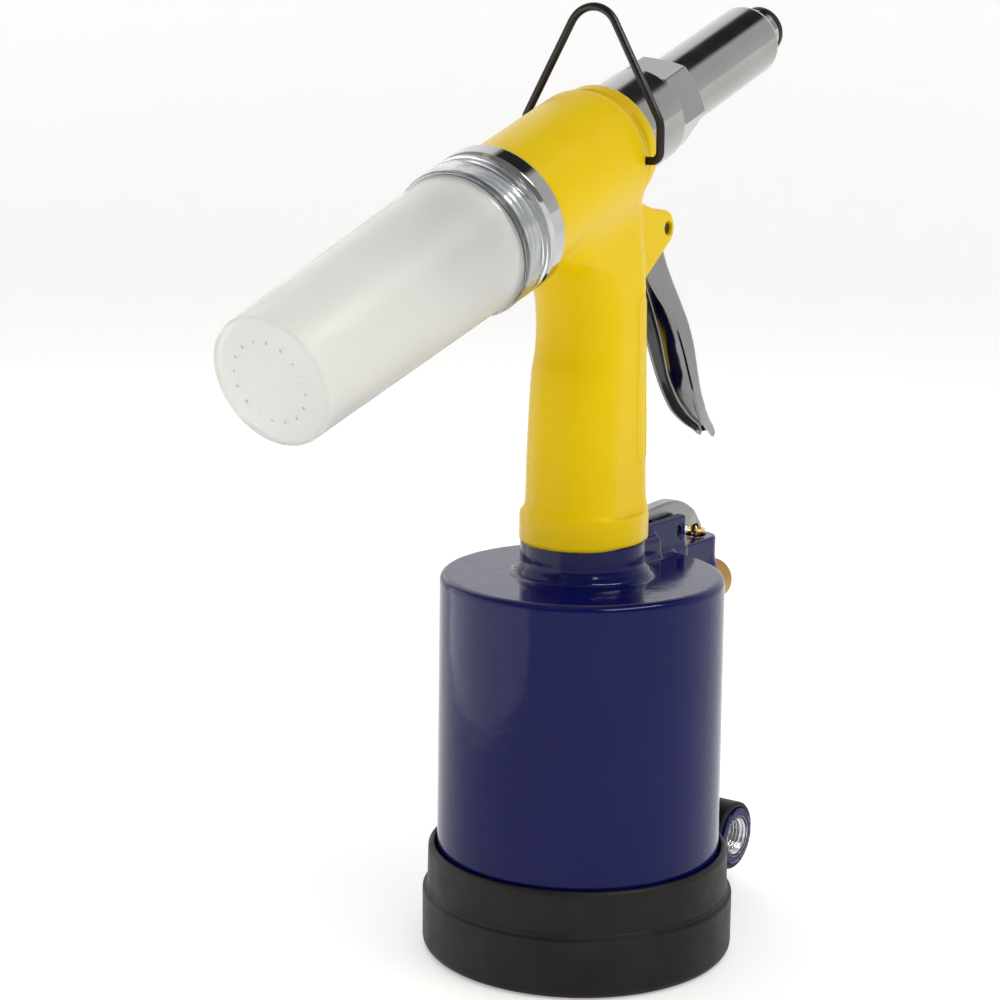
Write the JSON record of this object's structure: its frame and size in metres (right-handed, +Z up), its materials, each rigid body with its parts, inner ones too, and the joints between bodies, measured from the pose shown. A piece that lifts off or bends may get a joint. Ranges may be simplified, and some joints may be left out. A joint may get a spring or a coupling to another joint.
{
  "type": "pneumatic rivet gun",
  "caption": "Air-hydraulic blind rivet gun: air cylinder in a rubber boot, pistol handle with lever trigger, tilted pulling head, hanging hook and collection bottle.",
  "frame": {"origin": "centre of the underside of the rubber boot, on the axis of the air cylinder", "axes": "+X from the handle towards the nose side, +Y to the left of a person holding the tool, +Z up along the cylinder"},
  "size_m": [0.2821, 0.106, 0.3175],
  "materials": {
    "boot_rubber": "matte moulded rubber",
    "indigo_paint": "gloss paint over a cast surface",
    "yellow_paint": "gloss paint over a cast surface",
    "bright_chrome": "polished plating",
    "satin_steel": "zinc plated stampings",
    "machined_aluminium": "machined",
    "black_steel": "black oxide",
    "seal_rubber": "smooth",
    "valve_brass": "turned",
    "sintered_bronze": "sintered, matte",
    "milky_plastic": "translucent polyethylene",
    "copper_washer": "soft copper",
    "spring_steel": "spring wire"
  },
  "bodies": {
    "frame": {"rubber_boot": "boot_rubber", "cylinder_housing": "indigo_paint", "bottom_cover": "machined_aluminium", "cover_oring": "seal_rubber", "cover_snap_ring": "black_steel", "piston_bumper": "seal_rubber", "ram_gland": "sintered_bronze", "gland_seal": "seal_rubber", "neck_oring": "seal_rubber", "head_casting": "yellow_paint", "oil_plug": "satin_steel", "oil_plug_washer": "copper_washer", "trigger_pin": "black_steel", "rocker_pin": "black_steel", "valve_bush": "valve_brass", "silencer": "sintered_bronze", "frame_head": "bright_chrome", "rod_seal": "seal_rubber", "rear_cap": "bright_chrome", "collector_oring": "seal_rubber", "nose_housing": "bright_chrome", "nosepiece": "black_steel"},
    "trigger": {"trigger": "bright_chrome"},
    "pull_rod": {"trigger_rod": "satin_steel"},
    "rocker": {"rocker_lever": "satin_steel"},
    "valve": {"valve_stem": "valve_brass", "valve_spring": "spring_steel"},
    "air_piston": {"air_piston": "machined_aluminium", "air_piston_seal": "seal_rubber", "ram": "bright_chrome", "ram_nut": "satin_steel"},
    "pulling_head": {"pull_piston": "bright_chrome", "pull_piston_seal": "seal_rubber", "return_spring": "spring_steel", "guide_tube": "satin_steel", "jaw_case": "satin_steel", "jaw_lock_nut": "satin_steel"},
    "jaw_1": {"jaw_1": "black_steel"},
    "jaw_2": {"jaw_2": "black_steel"},
    "jaw_3": {"jaw_3": "black_steel"},
    "jaw_pusher": {"jaw_pusher": "satin_steel", "pusher_spring": "spring_steel"},
    "hook": {"hook_bail": "black_steel"},
    "bottle": {"collection_bottle": "milky_plastic"}
  },
  "joints": [
    {"name": "trigger_squeeze", "type": "hinge", "parent": "frame", "child": "trigger", "pos_m": [0.034, 0, 0.2435], "axis": [0, 1, 0], "range_deg": [0, 14], "stiffness_Nm_per_rad": 0.6, "springref_deg": -5.73},
    {"name": "rod_lift", "type": "slide", "parent": "frame", "child": "pull_rod", "axis": [0, 0, 1], "range_m": [0, 0.0048]},
    {"name": "rocker_tilt", "type": "hinge", "parent": "frame", "child": "rocker", "pos_m": [0.052, 0, 0.1365], "axis": [0, 1, 0], "range_deg": [0, 7.4]},
    {"name": "valve_press", "type": "slide", "parent": "frame", "child": "valve", "axis": [0, 0, -1], "range_m": [0, 0.0032], "deforming": ["valve_spring"]},
    {"name": "air_stroke", "type": "slide", "parent": "frame", "child": "air_piston", "axis": [0, 0, 1], "range_m": [0, 0.07]},
    {"name": "pull_stroke", "type": "slide", "parent": "frame", "child": "pulling_head", "axis": [-0.9455, 0, -0.3256], "range_m": [0, 0.0161], "deforming": ["return_spring"]},
    {"name": "jaw_1_grip", "type": "slide", "parent": "pulling_head", "child": "jaw_1", "axis": [0.8861, -0.1914, 0.422], "range_m": [0, 0.00155]},
    {"name": "jaw_2_grip", "type": "slide", "parent": "pulling_head", "child": "jaw_2", "axis": [0.9941, 0, 0.1085], "range_m": [0, 0.00155]},
    {"name": "jaw_3_grip", "type": "slide", "parent": "pulling_head", "child": "jaw_3", "axis": [0.8861, 0.1914, 0.422], "range_m": [0, 0.00155]},
    {"name": "pusher_follow", "type": "slide", "parent": "pulling_head", "child": "jaw_pusher", "axis": [0.9455, 0, 0.3256], "range_m": [0, 0.00155], "deforming": ["pusher_spring"]},
    {"name": "hook_swing", "type": "hinge", "parent": "frame", "child": "hook", "pos_m": [0.00106, 0, 0.26796], "axis": [0, 1, 0], "range_deg": [-64, 42]},
    {"name": "bottle_pull", "type": "slide", "parent": "frame", "child": "bottle", "axis": [-0.9455, 0, -0.3256], "range_m": [0, 0.03]}
  ],
  "couplings": [
    {"joint": "rod_lift", "follows": "trigger_squeeze", "m_per_rad": 0.0195},
    {"joint": "rocker_tilt", "follows": "trigger_squeeze", "ratio": 0.52},
    {"joint": "valve_press", "follows": "trigger_squeeze", "m_per_rad": 0.0129},
    {"joint": "pull_stroke", "follows": "air_stroke", "ratio": 0.22857},
    {"joint": "jaw_1_grip", "follows": "air_stroke", "ratio": 0.021429},
    {"joint": "jaw_2_grip", "follows": "air_stroke", "ratio": 0.021429},
    {"joint": "jaw_3_grip", "follows": "air_stroke", "ratio": 0.021429},
    {"joint": "pusher_follow", "follows": "air_stroke", "ratio": 0.020898}
  ]
}
